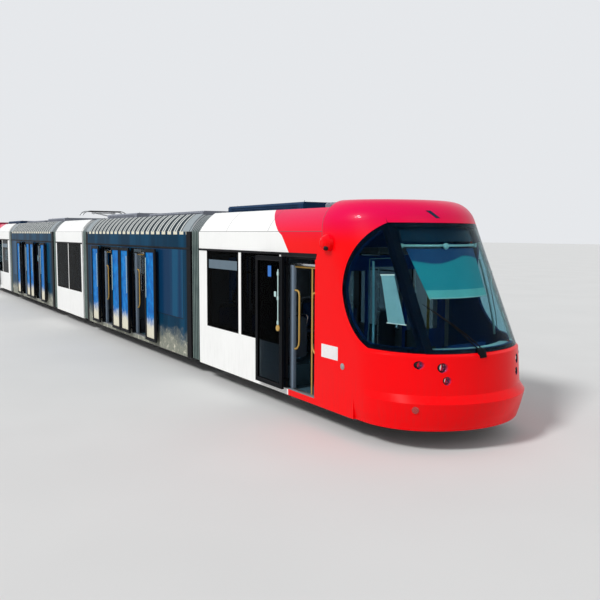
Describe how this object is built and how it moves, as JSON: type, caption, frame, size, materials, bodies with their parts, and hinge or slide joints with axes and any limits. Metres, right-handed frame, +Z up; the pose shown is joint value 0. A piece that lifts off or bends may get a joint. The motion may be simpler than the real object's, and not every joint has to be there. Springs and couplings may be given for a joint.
{
  "type": "five-section low-floor tram",
  "caption": "Articulated low-floor tram with rounded raked cabs, plug doors, bellows gangways, bogies on rails and a folded pantograph.",
  "frame": {"origin": "under the tram's middle, at the level of the wheel flange tips, 27 mm below rail head", "axes": "+X towards the front cab, +Y to the tram's left side, +Z up"},
  "size_m": [32.7996, 2.886, 3.5853],
  "materials": {
    "body_paint": "glossy red and white",
    "wrap_paint": "glossy dark blue",
    "white_paint": "glossy",
    "windscreen_glass": "tinted",
    "window_glass": "dark tint",
    "door_frame": "black satin",
    "floor_cover": "matt",
    "cab_trim": "matt",
    "seat": "woven",
    "lamp": "clear",
    "roof_paint": "satin",
    "bogie_paint": "satin black",
    "wheel_steel": "worn",
    "bellows": "ribbed",
    "panto_metal": "satin"
  },
  "bodies": {
    "centre": {"centre_shell": "white_paint", "centre_glass": "window_glass", "centre_floor": "floor_cover", "centre_seats": "seat", "centre_roof": "roof_paint", "centre_bogie": "bogie_paint", "panto_base": "panto_metal"},
    "cab_a": {"cab_a_shell": "body_paint", "cab_a_nose": "body_paint", "cab_a_windscreen": "windscreen_glass", "cab_a_glass": "window_glass", "cab_a_bumper": "body_paint", "cab_a_lamps": "lamp", "cab_a_doors": "door_frame", "cab_a_floor": "floor_cover", "cab_a_wheel_boxes": "floor_cover", "cab_a_driver_place": "cab_trim", "cab_a_seats": "seat", "cab_a_roof": "roof_paint", "cab_a_bogie": "bogie_paint", "cab_a_bellows": "bellows"},
    "hung_a": {"hung_a_shell": "wrap_paint", "hung_a_glass": "window_glass", "hung_a_doors": "door_frame", "hung_a_floor": "floor_cover", "hung_a_seats": "seat", "hung_a_roof": "roof_paint", "hung_a_bellows": "bellows"},
    "cab_a_axle_1": {"cab_a_wheels_1": "wheel_steel"},
    "cab_a_axle_2": {"cab_a_wheels_2": "wheel_steel"},
    "centre_axle_a": {"centre_wheels_a": "wheel_steel"},
    "cab_b": {"cab_b_shell": "body_paint", "cab_b_nose": "body_paint", "cab_b_windscreen": "windscreen_glass", "cab_b_glass": "window_glass", "cab_b_bumper": "body_paint", "cab_b_lamps": "lamp", "cab_b_doors": "door_frame", "cab_b_floor": "floor_cover", "cab_b_wheel_boxes": "floor_cover", "cab_b_driver_place": "cab_trim", "cab_b_seats": "seat", "cab_b_roof": "roof_paint", "cab_b_bogie": "bogie_paint", "cab_b_bellows": "bellows"},
    "hung_b": {"hung_b_shell": "wrap_paint", "hung_b_glass": "window_glass", "hung_b_doors": "door_frame", "hung_b_floor": "floor_cover", "hung_b_seats": "seat", "hung_b_roof": "roof_paint", "hung_b_bellows": "bellows"},
    "cab_b_axle_1": {"cab_b_wheels_1": "wheel_steel"},
    "cab_b_axle_2": {"cab_b_wheels_2": "wheel_steel"},
    "centre_axle_b": {"centre_wheels_b": "wheel_steel"},
    "panto_lower": {"panto_lower_arm": "panto_metal"},
    "panto_upper": {"panto_upper_arm": "panto_metal"},
    "panto_top": {"panto_head": "panto_metal"}
  },
  "joints": [
    {"name": "inner_pivot_a", "type": "hinge", "parent": "centre", "child": "hung_a", "pos_m": [1.81, 0, 0.283], "axis": [0, 0, 1], "range_deg": [-16, 16], "deforming": ["hung_a_bellows"]},
    {"name": "cab_pivot_a", "type": "hinge", "parent": "hung_a", "child": "cab_a", "pos_m": [9.73, 0, 0.283], "axis": [0, 0, 1], "range_deg": [-16, 16], "deforming": ["cab_a_bellows"]},
    {"name": "cab_a_roll_1", "type": "hinge", "parent": "cab_a", "child": "cab_a_axle_1", "pos_m": [10.785, 0, 0.322], "axis": [0, 1, 0], "continuous": true},
    {"name": "cab_a_roll_2", "type": "hinge", "parent": "cab_a", "child": "cab_a_axle_2", "pos_m": [12.635, 0, 0.322], "axis": [0, 1, 0], "continuous": true},
    {"name": "centre_roll_a", "type": "hinge", "parent": "centre", "child": "centre_axle_a", "pos_m": [0.925, 0, 0.322], "axis": [0, 1, 0], "continuous": true},
    {"name": "inner_pivot_b", "type": "hinge", "parent": "centre", "child": "hung_b", "pos_m": [-1.81, 0, 0.283], "axis": [0, 0, 1], "range_deg": [-16, 16], "deforming": ["hung_b_bellows"]},
    {"name": "cab_pivot_b", "type": "hinge", "parent": "hung_b", "child": "cab_b", "pos_m": [-9.73, 0, 0.283], "axis": [0, 0, 1], "range_deg": [-16, 16], "deforming": ["cab_b_bellows"]},
    {"name": "cab_b_roll_1", "type": "hinge", "parent": "cab_b", "child": "cab_b_axle_1", "pos_m": [-10.785, 0, 0.322], "axis": [0, 1, 0], "continuous": true},
    {"name": "cab_b_roll_2", "type": "hinge", "parent": "cab_b", "child": "cab_b_axle_2", "pos_m": [-12.635, 0, 0.322], "axis": [0, 1, 0], "continuous": true},
    {"name": "centre_roll_b", "type": "hinge", "parent": "centre", "child": "centre_axle_b", "pos_m": [-0.925, 0, 0.322], "axis": [0, 1, 0], "continuous": true},
    {"name": "panto_lift", "type": "hinge", "parent": "centre", "child": "panto_lower", "pos_m": [-0.56, 0, 3.24], "axis": [0, -1, 0], "range_deg": [0, 52]},
    {"name": "panto_knee", "type": "hinge", "parent": "panto_lower", "child": "panto_upper", "pos_m": [0.58143, 0, 3.38015], "axis": [0, -1, 0], "range_deg": [-104, 0]},
    {"name": "panto_level", "type": "hinge", "parent": "panto_upper", "child": "panto_top", "pos_m": [-0.56, 0, 3.5203], "axis": [0, -1, 0], "range_deg": [0, 52]}
  ],
  "couplings": [
    {"joint": "panto_knee", "follows": "panto_lift", "ratio": -2},
    {"joint": "panto_level", "follows": "panto_lift", "ratio": 1}
  ]
}
